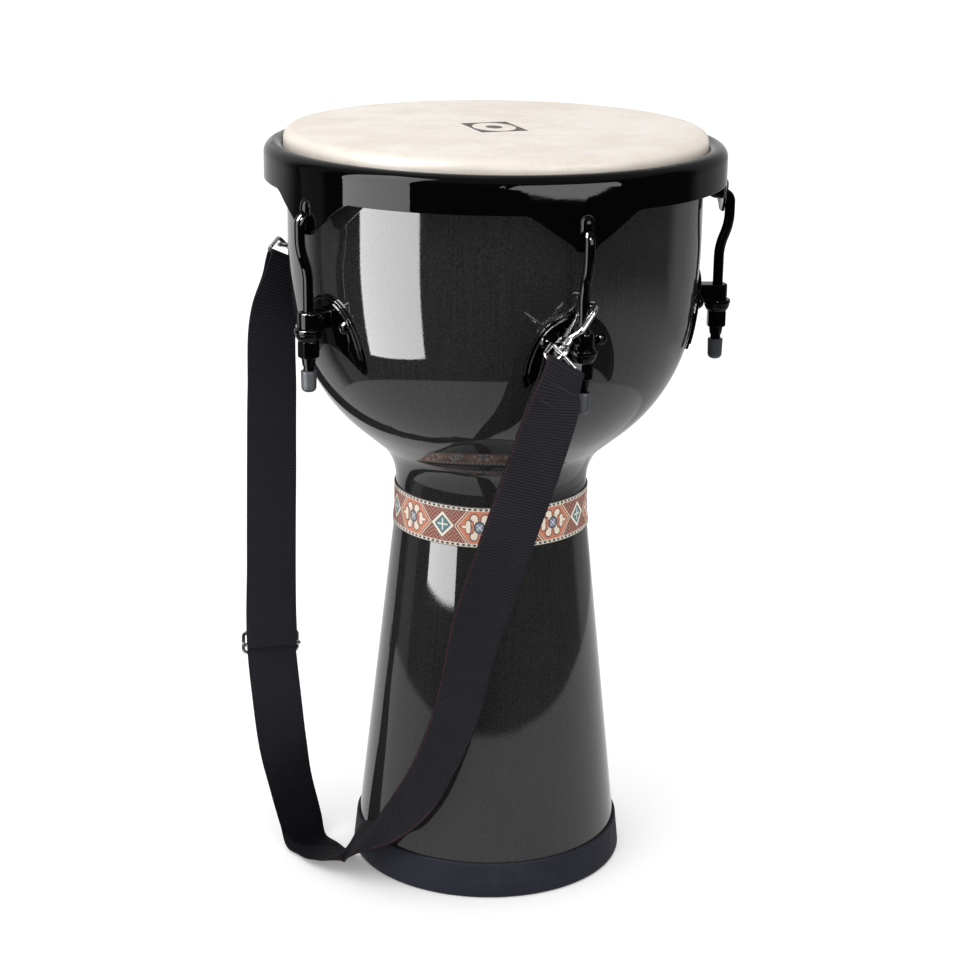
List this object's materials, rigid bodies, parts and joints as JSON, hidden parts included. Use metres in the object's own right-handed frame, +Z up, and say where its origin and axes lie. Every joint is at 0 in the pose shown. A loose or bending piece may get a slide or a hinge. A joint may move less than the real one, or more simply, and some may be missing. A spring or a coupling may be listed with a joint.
{
  "type": "djembe",
  "caption": "Goblet-shaped hand drum with a goatskin head, a counterhoop pulled down by tuning hooks and nuts on side plates, a rubber foot ring and a clip-on shoulder strap.",
  "frame": {"origin": "centre of the foot ring's underside, on the floor", "axes": "+Z up along the drum's axis to the playing head; -Y towards the viewer, with the strap's front clip to the right of the middle; +X to the viewer's right"},
  "size_m": [0.365, 0.3647, 0.5583],
  "materials": {
    "shell": "glossy black fibreglass",
    "rubber_foot": "matt blue-grey",
    "ribbon": "woven in several colours",
    "skin": "cream goatskin",
    "hoop_steel": "plain steel",
    "black_steel": "gloss black",
    "cap_rubber": "matt grey",
    "zinc": "zinc plated",
    "webbing": "ribbed nylon webbing",
    "chrome": "polished"
  },
  "bodies": {
    "drum": {"shell": "shell", "foot_ring": "rubber_foot", "waist_band": "ribbon", "drumhead_skin": "skin", "plate_bolts": "black_steel", "plate_bolt_nuts": "zinc", "side_plate_1": "black_steel", "side_plate_2": "black_steel", "side_plate_3": "black_steel", "side_plate_4": "black_steel", "side_plate_5": "black_steel", "backing_plate_1": "zinc", "backing_plate_2": "zinc", "backing_plate_3": "zinc", "backing_plate_4": "zinc", "backing_plate_5": "zinc", "domed_washer_1": "black_steel", "domed_washer_2": "black_steel", "domed_washer_3": "black_steel", "domed_washer_4": "black_steel", "domed_washer_5": "black_steel", "snap_hook_front": "chrome", "snap_pin_front": "chrome", "snap_hook_back": "chrome", "snap_pin_back": "chrome"},
    "head": {"counterhoop": "black_steel", "flesh_hoop": "hoop_steel", "tuning_hook_1": "black_steel", "tuning_hook_2": "black_steel", "tuning_hook_3": "black_steel", "tuning_hook_4": "black_steel", "tuning_hook_5": "black_steel", "rod_cap_1": "cap_rubber", "rod_cap_2": "cap_rubber", "rod_cap_3": "cap_rubber", "rod_cap_4": "cap_rubber", "rod_cap_5": "cap_rubber"},
    "gate_front": {"snap_gate_front": "chrome"},
    "gate_back": {"snap_gate_back": "chrome"},
    "strap": {"strap_webbing": "webbing", "strap_ring_front": "chrome", "strap_ring_back": "chrome"},
    "slide": {"strap_slide": "chrome"},
    "nut_1": {"tuning_nut_1": "black_steel"},
    "nut_2": {"tuning_nut_2": "black_steel"},
    "nut_3": {"tuning_nut_3": "black_steel"},
    "nut_4": {"tuning_nut_4": "black_steel"},
    "nut_5": {"tuning_nut_5": "black_steel"}
  },
  "joints": [
    {"name": "head_tension", "type": "slide", "parent": "drum", "child": "head", "axis": [0, 0, -1], "range_m": [-0.002, 0.003], "deforming": ["drumhead_skin"]},
    {"name": "tuning_nut_1", "type": "hinge", "parent": "drum", "child": "nut_1", "pos_m": [0.06029, -0.15305, 0.4155], "axis": [0, 0, 1], "range_deg": [-580, 868]},
    {"name": "tuning_nut_2", "type": "hinge", "parent": "drum", "child": "nut_2", "pos_m": [0.16419, 0.01004, 0.4155], "axis": [0, 0, 1], "range_deg": [-580, 868]},
    {"name": "tuning_nut_3", "type": "hinge", "parent": "drum", "child": "nut_3", "pos_m": [0.04119, 0.15926, 0.4155], "axis": [0, 0, 1], "range_deg": [-580, 868]},
    {"name": "tuning_nut_4", "type": "hinge", "parent": "drum", "child": "nut_4", "pos_m": [-0.13874, 0.08839, 0.4155], "axis": [0, 0, 1], "range_deg": [-580, 868]},
    {"name": "tuning_nut_5", "type": "hinge", "parent": "drum", "child": "nut_5", "pos_m": [-0.12693, -0.10463, 0.4155], "axis": [0, 0, 1], "range_deg": [-580, 868]},
    {"name": "gate_front", "type": "hinge", "parent": "drum", "child": "gate_front", "pos_m": [0.04664, -0.15625, 0.43927], "axis": [0.6662, 0.2624, -0.6981], "range_deg": [0, 11], "stiffness_Nm_per_rad": 0.003, "springref_deg": -8.59},
    {"name": "gate_back", "type": "hinge", "parent": "drum", "child": "gate_back", "pos_m": [-0.14564, 0.07359, 0.45454], "axis": [0.099, 0.1554, 0.9829], "range_deg": [0, 10], "stiffness_Nm_per_rad": 0.003, "springref_deg": -8.59},
    {"name": "strap_swing", "type": "hinge", "parent": "drum", "child": "strap", "pos_m": [0.0449, -0.16718, 0.4335], "axis": [-0.6449, 0.7609, 0.0715], "range_deg": [0, 35]},
    {"name": "slide_shift", "type": "slide", "parent": "strap", "child": "slide", "axis": [0.0044, 0.124, 0.9923], "range_m": [0, 0.015]}
  ],
  "couplings": [
    {"joint": "tuning_nut_1", "follows": "head_tension", "rad_per_m": 5026.5},
    {"joint": "tuning_nut_2", "follows": "head_tension", "rad_per_m": 5026.5},
    {"joint": "tuning_nut_3", "follows": "head_tension", "rad_per_m": 5026.5},
    {"joint": "tuning_nut_4", "follows": "head_tension", "rad_per_m": 5026.5},
    {"joint": "tuning_nut_5", "follows": "head_tension", "rad_per_m": 5026.5}
  ]
}
